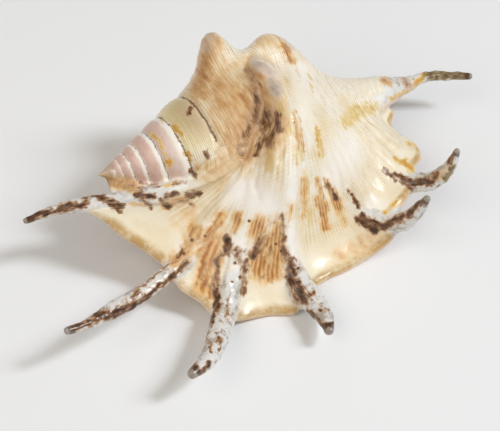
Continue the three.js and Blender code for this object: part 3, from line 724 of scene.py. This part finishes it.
def growth_samples():
    samples = Samples()
    angles = np.arange(END_ANGLE - 360 * 7, END_ANGLE + 1, 2.0)[:, None]
    t = np.linspace(0, 1, 15)[None]
    distance = ribbon_distance(angles, t)
    old = smooth((-330 - angles) / 120)
    width = suture_distance(angles) * (WHORL_RATIO - 1) * 1.15
    closed = angles < END_ANGLE - 360
    seam = np.minimum(t, np.where(closed, 1 - t, 9.0)) * width
    samples.add(body_point(angles, distance), around(angles + 0 * t), cord=39.1 * WHORL_RATIO**t + 0 * angles,
                grow=angles * 0.45 + 0 * t, pink=old * (1 - smooth((t - 0.68) / 0.12)) + 0 * t,
                band=old * smooth((t - 0.70) / 0.1) + 0 * t, seam=seam,
                whorl=np.where(closed, 1 - old, 0.0) + 0 * t)
    angles = np.arange(END_ANGLE - 360, END_ANGLE + 1, 2.0)[:, None]
    t = 1 + np.linspace(0, 1, 60)[None]
    below = smooth((angles + 175) / 25) * smooth((-15 - angles) / 30)
    samples.add(body_point(angles, ribbon_distance(angles, t)), around(angles + 0 * t),
                cord=52.9 + (t - 1) * 60 + 0 * angles, grow=angles * 0.45 + 0 * t, seam=9.0,
                callus=below * smooth((t - 1) / 0.12))
    share, across = np.meshgrid(np.linspace(0, 1, 260), 1 - np.linspace(1, 0, 64)**1.6, indexing="ij")
    samples.add(lip_point(share, across), [0, -0.3, 1.0], cord=along(LEAVING, share)[..., 1],
                grow=56.7 + across * 60, out=across, seam=9.0)
    for k, (path, radii) in enumerate(DIGITS):
        steps, sides = 90, 24
        rings = digit_rings(path, radii, steps, sides)[:, list(range(sides)) + [0]]
        s = np.minimum(np.arange(len(rings)) / steps, 1.0)[:, None]
        total = np.linalg.norm(np.diff(np.array(path, float), axis=0), axis=1).sum()
        turn = np.arange(sides + 1)[None] / sides * 18.0
        samples.add(rings, rings - rings.mean(1, keepdims=True), cord=200 + 40 * k + turn + 0 * s,
                    grow=s * total + 0 * turn, digit=0.001 + s * 0.999 + 0 * turn, out=1.0, seam=9.0)
    return samples.build()


def vertex_noise(points, size, seed):
    shift = Vector((seed * 17.3, seed * 5.1, -seed * 9.7))
    return np.array([noise.noise(Vector(p / size) + shift) for p in points])


def relief(points, normal, pairs, samples):
    """How far each point of the skin is moved outwards, in millimetres."""
    f = samples.look_up(points)
    outside = 1 - smooth((f["depth"] - 0.8) / 0.8)
    wave = vertex_noise(points, WAVE_LENGTH, 1)
    knobby = vertex_noise(points, LUMP_LENGTH, 2)
    broad = vertex_noise(points, SWELL_LENGTH, 3)
    on_digit = f["digit"] > 0
    on_lip = (f["out"] > 0) & ~on_digit
    # Broad cords, CORD_PITCH apart on the body; they fan out over the lip and end before its margin
    cords = np.sin(2 * np.pi * (f["cord"] + 0.9 * wave) / CORD_PITCH)
    corded = np.where(on_digit | (f["out"] > 0.8), 0, 1) * (1 - f["pink"]) * (1 - f["band"])
    height = BODY_CORD * cords * corded
    fanned = smooth(f["out"] / 0.3) * (1 - smooth((f["out"] - 0.66) / 0.16))
    height = height + np.where(on_lip, LIP_CORD * cords * fanned, 0)
    height = height + np.where(on_digit, DIGIT_LUMPS * knobby + DIGIT_WAVES * wave, 0)
    height = height + SKIN_WAVES * broad + SKIN_LUMPS * knobby
    height = height - SUTURE_DEPTH * np.exp(-(f["seam"] / SUTURE_HALF_WIDTH)**2)
    # The margin is wavy and a little worn
    height = height + np.where(on_lip, MARGIN_WAVES * wave * smooth((f["out"] - 0.85) / 0.15), 0)
    places, seen = in_sight(points, normal)
    for path, deep, half_width in CREASES:
        height = height - deep * seen * np.exp(-(from_path(places, path) / half_width)**2)
    for pit in PITS:
        height = height - PIT_DEPTH * seen * np.exp(-(from_path(places, [pit, pit]) / PIT_PIXELS)**2)
    tip = smooth((f["digit"] - 0.9) / 0.1)
    return average(height, pairs, 1, 0.6) * outside * (1 - 0.8 * tip)


def finished_shell():
    shell = joined_shell()
    fine_surface(shell)
    samples = growth_samples()
    points, normal = coordinates(shell), normals(shell)
    set_coordinates(shell, points + normal * relief(points, normal, edges(shell), samples)[:, None])
    triangles = sum(len(p.vertices) - 2 for p in shell.data.polygons)
    apply_modifier(shell, "DECIMATE", decimate_type="COLLAPSE", ratio=min(1.0, TRIANGLES / triangles))
    points = coordinates(shell)
    points[:, 2] = np.maximum(points[:, 2], REST_LEVEL)
    points = fit_inside(points)
    set_coordinates(shell, points)
    only(shell)
    bpy.ops.object.shade_smooth()
    paint_fields(shell, samples)
    return shell


def fit_inside(points):
    """Keeps the fine skin within the solid's own box."""
    low, high = (np.array(c) / MM + MIDDLE for c in CAD_BOX)
    return np.clip(points, low, high)


def paint_fields(shell, samples):
    points, normal, pairs = coordinates(shell), normals(shell), edges(shell)
    f = samples.look_up(points)
    places, seen = in_sight(points, normal)
    ragged = np.stack([vertex_noise(points, RAGGED_LENGTH, seed) for seed in (4, 5)], 1)
    masks = patch_masks(places + RAGGED_PIXELS * ragged, average(seen, pairs, 2))
    for pit in PITS:
        stained = seen * smooth((2.6 - from_path(places, [pit, pit])) / 1.8)
        masks["brown_and_shade"] = np.maximum(masks["brown_and_shade"], stained)
    inside = smooth((f["depth"] - 0.9) / 0.7)
    under = np.maximum(inside, f["callus"] * smooth((0.25 - normal[:, 2]) / 0.5))
    # The glaze of the lip's inner face also covers the digits' roots from below
    root = np.where(f["digit"] > 0, 1 - smooth((f["digit"] - 0.38) / 0.22), 0.0)
    under = np.maximum(under, root * smooth((0.15 - normal[:, 2]) / 0.5))
    under = average(under, pairs, 3)
    digit = average((f["digit"] > 0).astype(float), pairs, 3)
    rim = np.where((f["out"] > 0) & (f["digit"] == 0), smooth((f["out"] - 0.86) / 0.12), 0.0)
    pink, band = (average(f[name], pairs, 1, 0.3) for name in ("pink", "band"))
    whorl = average(f["whorl"], pairs, 10)
    for name in ("cord", "grow", "seam", "out"):
        store(shell, name, "FLOAT", "value", f[name])
    store(shell, "along", "FLOAT", "value", f["digit"])
    store(shell, "tints", "FLOAT_COLOR", "color", pink, band, whorl, under)
    # The brown and tan marks include painted shade under the spire and on the knobs.
    store(shell, "marks", "FLOAT_COLOR", "color", *(masks[k] for k in ("brown_and_shade", "flame", "tan_and_shade", "ochre")))
    # The olive hue includes painted shade in the hollow under the apex.
    store(shell, "hues", "FLOAT_COLOR", "color", masks["lilac"], masks["olive_and_shade"],
          # The third channel joins the digits with the pale patches, one of which is painted light.
          np.maximum(digit, masks["pale"]), average(rim, pairs, 2))


def store(piece, name, kind, field, *channels):
    """Keeps one value, or four as a colour, for every point."""
    values = np.stack([np.asarray(c, np.float32) for c in channels], 1).ravel()
    piece.data.attributes.new(name, kind, "POINT").data.foreach_set(field, values)


def linear(hex_colour):
    """An sRGB hex colour as linear red, green, blue and alpha."""
    parts = [int(hex_colour[i:i + 2], 16) / 255 for i in (1, 3, 5)]
    return tuple(c / 12.92 if c <= 0.04045 else ((c + 0.055) / 1.055)**2.4 for c in parts) + (1.0,)


# The shader nodes that the shell's material is made of: type, settings, inputs in order, output
PLUS, MINUS, TIMES, POWER, SINE, LARGER = (
    ("ShaderNodeMath", {"operation": name}, (0, 1), 0)
    for name in ("ADD", "SUBTRACT", "MULTIPLY", "POWER", "SINE", "MAXIMUM"))
RAMP_ENDS = ("Value", "From Min", "From Max", "To Min", "To Max")
RAMP = ("ShaderNodeMapRange", {"interpolation_type": "SMOOTHSTEP"}, RAMP_ENDS, 0)
CLOUD = ("ShaderNodeTexNoise", {}, ("Vector", "Scale", "Detail", "Roughness"), 0)
OVER = ("ShaderNodeMix", {"data_type": "RGBA"}, (0, 6, 7), 2)
BETWEEN = ("ShaderNodeMix", {}, (0, 2, 3), 0)
STRETCH = ("ShaderNodeVectorMath", {"operation": "MULTIPLY"}, (0, 1), 0)
POINT = ("ShaderNodeCombineXYZ", {}, (0, 1, 2), 0)
AXES = ("ShaderNodeSeparateXYZ", {}, (0,), 0)
CHANNELS = ("ShaderNodeSeparateColor", {}, ("Color",), 0)
PLACE = ("ShaderNodeTexCoord", {}, (), "Object")
BUMP = ("ShaderNodeBump", {}, ("Height", "Strength", "Distance"), 0)


def stored(name, output):
    """The form of a node that reads a stored value."""
    return "ShaderNodeAttribute", {"attribute_name": name}, (), output


def add(tree, form, *values):
    """Adds one shader node; each value is a socket to link, a hex colour or a plain value."""
    kind, settings, inputs, output = form
    node = tree.nodes.new(kind)
    for key, value in settings.items():
        setattr(node, key, value)
    for key, value in zip(inputs, values):
        if isinstance(value, bpy.types.NodeSocket):
            tree.links.new(value, node.inputs[key])
        else:
            node.inputs[key].default_value = linear(value) if isinstance(value, str) else value
    return node.outputs[output]


def shell_material():
    """Aragonite, laid down and glazed by growth: satin with fine threads outside, glossy peach below."""
    material = bpy.data.materials.new("spider_conch_shell_glazed_by_growth")
    material.use_nodes = True
    shader = material.node_tree.nodes["Principled BSDF"]
    node = partial(add, material.node_tree)

    def four_masks(name):
        source = node(stored(name, "Color"))
        return *node(CHANNELS, source).node.outputs, source.node.outputs["Alpha"]

    cord, grow, seam, out, along_digit = (
        node(stored(name, "Fac")) for name in ("cord", "grow", "seam", "out", "along"))
    pink, band, whorl, under = four_masks("tints")
    brown_and_shade, flame, tan_and_shade, ochre = four_masks("marks")
    lilac, olive_and_shade, digit, rim = four_masks("hues")

    millimetres = node(STRETCH, node(PLACE), (1 / MM, 1 / MM, 1 / MM))
    wave = node(CLOUD, millimetres, 1 / WAVE_SIZE, 2.0, 0.55)
    wavy = node(PLUS, cord, node(TIMES, wave, node(RAMP, out, 0.05, 0.45, 1.6, 0.4)))
    # Growth runs along the cords, so streaks are five times longer that way than across
    streak_at = node(POINT, wavy, node(TIMES, grow, 0.2), 0.0)
    streak = node(CLOUD, streak_at, 1 / STREAK_SIZE, 4.0, 0.6)
    fine_streak = node(CLOUD, streak_at, 1 / FINE_STREAK_SIZE, 2.0, 0.6)
    blotch = node(CLOUD, millimetres, 1 / BLOTCH_SIZE, 4.0, 0.65)
    broad = node(CLOUD, millimetres, 1 / BROAD_SIZE, 3.0, 0.55)
    stain = node(CLOUD, millimetres, 1 / STAIN_SIZE, 4.0, 0.6)

    def stripes(across, pitch):
        """Soft lines one pitch apart."""
        turn = node(TIMES, across, 2 * math.pi / pitch)
        return node(RAMP, node(SINE, turn), -1.0, 1.0)

    # Threads on the body are THREAD_PITCH apart; new ones start between them as the lip fans out
    on_body, on_lip = stripes(wavy, THREAD_PITCH), stripes(wavy, LIP_THREAD_PITCH)
    threads = node(BETWEEN, node(RAMP, out, 0.25, 0.55), node(POWER, on_body, 1.6), node(POWER, on_lip, 1.3))
    striae = stripes(node(PLUS, grow, node(TIMES, wave, 3.0)), STRIA_PITCH)
    # The threads end before the smooth margin, and are worn away on the digits' ridges. The pale patches
    # clear them too, and one of those is painted light on the middle of the body.
    worn = node(LARGER, node(TIMES, digit, 0.85), node(RAMP, out, 0.72, 0.86))
    skin = node(MINUS, 1.0, node(LARGER, worn, node(LARGER, pink, band)))
    lines = node(TIMES, threads, skin)

    def torn_patch(mask, grain, spread):
        """A soft patch torn by the grain; it thins out into the bare shell at its edge. Most patches are
        pigment, but some brown, tan and olive ones are painted shade.
        """
        torn = node(TIMES, node(MINUS, grain, 0.5), spread)
        return node(PLUS, mask, node(TIMES, torn, node(RAMP, mask, 0.02, 0.35)))

    def layers(colour, amount, steps):
        """Tints laid over the colour, each where the amount passes from its low to its high."""
        for low, high, tint, strength in steps:
            colour = node(OVER, node(RAMP, amount, low, high, 0.0, strength), colour, tint)
        return colour

    def washes(colour, rows):
        """Tints laid over the colour, each through its own mask."""
        for tint, mask in rows:
            colour = node(OVER, mask, colour, tint)
        return colour

    far_along, _, height_up = node(AXES, millimetres).node.outputs
    spire_tip = node(RAMP, far_along, -59.0, -51.0)
    spire_front = node(RAMP, far_along, -40.0, -30.0)
    spire_pink = node(OVER, spire_front, node(OVER, spire_tip, "#e6cdb8", "#e0c0b4"), "#ece0d6")
    whorl_straw = node(OVER, node(RAMP, height_up, 43.0, 50.0), "#fdf0bd", "#cdb68c")
    bony = node(TIMES, digit, node(RAMP, along_digit, 0.12, 0.40))
    colour = node(OVER, node(RAMP, broad, 0.38, 0.64), "#fffaec", "#f4e6c6")
    colour = washes(colour, (
        ("#f0e4c8", node(RAMP, out, 0.35, 0.80, 0.0, 0.55)),
        ("#e7cb8e", node(TIMES, lines, node(RAMP, streak, 0.34, 0.68, 0.18, 0.85))),
        ("#b98d58", node(TIMES, lines, node(RAMP, streak, 0.54, 0.76, 0.0, 0.7))),
        ("#c9a06a", node(TIMES, node(TIMES, striae, skin), 0.10)),
        (whorl_straw, node(TIMES, whorl, 0.9)),
        ("#b89f74", node(TIMES, node(TIMES, whorl, threads), 0.28)),
        (spire_pink, pink),
        ("#b98f88", node(TIMES, pink, node(RAMP, streak, 0.45, 0.75, 0.0, 0.3))),
        ("#f8f3ec", band),
        # Near white on the digits and the pale patches, one of which is painted light on the middle of the
        # body.
        ("#fffcf6", node(TIMES, digit, 0.95)),
        ("#e1e1de", bony),
        ("#9d8f80", node(TIMES, bony, node(RAMP, stain, 0.50, 0.64, 0.0, 0.75)))))
    colour = layers(colour, node(TIMES, bony, blotch), (
        (0.52, 0.62, "#b3a392", 0.7), (0.60, 0.68, "#7a5b3f", 0.75), (0.66, 0.76, "#3f2a1c", 0.85)))
    stained_edge = node(TIMES, node(RAMP, out, 0.955, 1.0), node(RAMP, stain, 0.35, 0.6, 0.3, 0.85))
    colour = washes(colour, (
        ("#ead9ab", node(TIMES, rim, node(RAMP, fine_streak, 0.4, 0.7, 0.1, 0.5))),
        ("#b98f3f", node(TIMES, rim, stained_edge))))
    # Tan patches, some of them painted shade under the apex, on the big knob and on the first knob's flank.
    colour = layers(colour, torn_patch(tan_and_shade, streak, 1.5), (
        (0.05, 0.50, "#ebcea0", 0.85), (0.35, 0.85, "#d09d60", 0.8), (0.75, 1.1, "#a0672f", 0.6)))
    colour = layers(colour, torn_patch(ochre, streak, 1.8), (
        (0.15, 0.60, "#ecd08a", 0.9), (0.50, 1.0, "#d39a3c", 0.85)))
    colour = layers(colour, torn_patch(lilac, blotch, 0.7), (
        (0.10, 0.60, "#dccdbf", 0.85), (0.50, 1.0, "#ac9586", 0.75)))
    streaked_blotch = node(TIMES, node(PLUS, blotch, fine_streak), 0.5)
    # Olive patches, one of them painted shade under the apex.
    colour = layers(colour, torn_patch(olive_and_shade, streaked_blotch, 3.0), (
        (0.10, 0.60, "#a0854c", 0.85), (0.50, 1.3, "#4f3a1c", 0.9)))
    flames = torn_patch(flame, streak, 2.0)
    on_threads = node(RAMP, threads, 0.1, 0.7, 0.25, 1.0)
    threaded = node(TIMES, node(RAMP, flames, 0.35, 0.75), on_threads)
    darkest = node(RAMP, torn_patch(flame, fine_streak, 2.0), 0.50, 1.1)
    colour = washes(colour, (
        ("#eec27a", node(RAMP, flames, 0.05, 0.60, 0.0, 0.85)),
        ("#c07c3e", node(TIMES, threaded, 0.9)),
        ("#7d4824", node(TIMES, darkest, 0.55))))
    grain = node(TIMES, node(PLUS, node(PLUS, streak, blotch), fine_streak), 1 / 3)
    # Brown patches, some of them painted shade under the spire and along the big knob's crease.
    colour = layers(colour, torn_patch(brown_and_shade, grain, 3.4), (
        (0.06, 0.55, "#c4a078", 0.8), (0.34, 0.74, "#815430", 0.88), (0.66, 1.1, "#38200f", 0.92)))
    suture = node(RAMP, seam, 0.26, 0.06, 0.0, 0.8)
    colour = washes(colour, (
        ("#4a2c17", node(TIMES, node(RAMP, along_digit, 0.955, 0.975), 0.85)),
        ("#cfc6ba", node(TIMES, node(RAMP, along_digit, 0.992, 0.999), 0.4)),
        ("#6f4f33", node(TIMES, suture, node(RAMP, far_along, -52.0, -40.0, 0.35, 1.0))),
        ("#f0cfa8", under),
        ("#dfa987", node(TIMES, under, node(RAMP, broad, 0.45, 0.65, 0.0, 0.6)))))

    height = node(PLUS, node(TIMES, lines, -0.6), node(TIMES, blotch, 0.5))
    height = node(TIMES, height, node(MINUS, 1.0, under))
    rough = node(BETWEEN, under, node(RAMP, blotch, 0.3, 0.7, 0.26, 0.42), 0.16)
    shader.inputs["Coat Weight"].default_value = 0.25
    shader.inputs["Coat Roughness"].default_value = 0.12
    bump = node(BUMP, height, 0.35, 0.4 * MM)
    for name, value in (("Base Color", colour), ("Roughness", rough), ("Normal", bump)):
        material.node_tree.links.new(value, shader.inputs[name])
    return material


shell = finished_shell()
shell.data.materials.clear()
shell.data.materials.append(shell_material())
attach(shell, "root")
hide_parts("shell")


def table():
    """Laminate, pressed smooth: pale, even and only faintly glossy."""
    bpy.ops.mesh.primitive_plane_add(size=6.0, location=(0, 0, 0))
    floor = bpy.context.object
    floor.name = "table"
    material = bpy.data.materials.new("white_laminate_table")
    material.use_nodes = True
    shader = material.node_tree.nodes["Principled BSDF"]
    shader.inputs["Base Color"].default_value = linear("#f2f5f8")
    shader.inputs["Roughness"].default_value = 0.55
    floor.data.materials.append(material)


def soft_light(name, toward, distance, size, energy, colour):
    data = bpy.data.lights.new(name, "AREA")
    data.size, data.energy, data.color = size, energy, linear(colour)[:3]
    lamp = bpy.data.objects.new(name, data)
    direction = Vector(toward).normalized()
    lamp.location = direction * distance
    lamp.rotation_euler = direction.to_track_quat("Z", "Y").to_euler()
    bpy.context.scene.collection.objects.link(lamp)


def studio():
    soft_light("window", (0.53, -0.31, 0.79), 2.4, 0.40, 22.0, "#f6faff")
    soft_light("second_window", (0.66, -0.35, 0.67), 2.4, 0.52, 12.5, "#f4f9ff")
    soft_light("room", (-0.62, -0.22, 0.75), 1.5, 1.2, 8.5, "#fff8ee")
    world = bpy.data.worlds.new("studio")
    world.use_nodes = True
    world.node_tree.nodes["Background"].inputs["Color"].default_value = linear("#fff4e8")
    world.node_tree.nodes["Background"].inputs["Strength"].default_value = 0.285
    bpy.context.scene.world = world
    bpy.context.scene.view_settings.view_transform = "Standard"


def camera():
    back = Vector(view_axes()[0])
    data = bpy.data.cameras.new("camera")
    data.sensor_width = 36
    data.lens = FOCAL_LENGTH * data.sensor_width / PICTURE_WIDTH
    eye = bpy.data.objects.new("camera", data)
    eye.location = Vector(((VIEW_TARGET - MIDDLE) * MM).tolist()) + back * VIEW_DISTANCE * MM
    eye.rotation_euler = back.to_track_quat("Z", "Y").to_euler()
    bpy.context.scene.collection.objects.link(eye)
    bpy.context.scene.camera = eye


table()
studio()
camera()
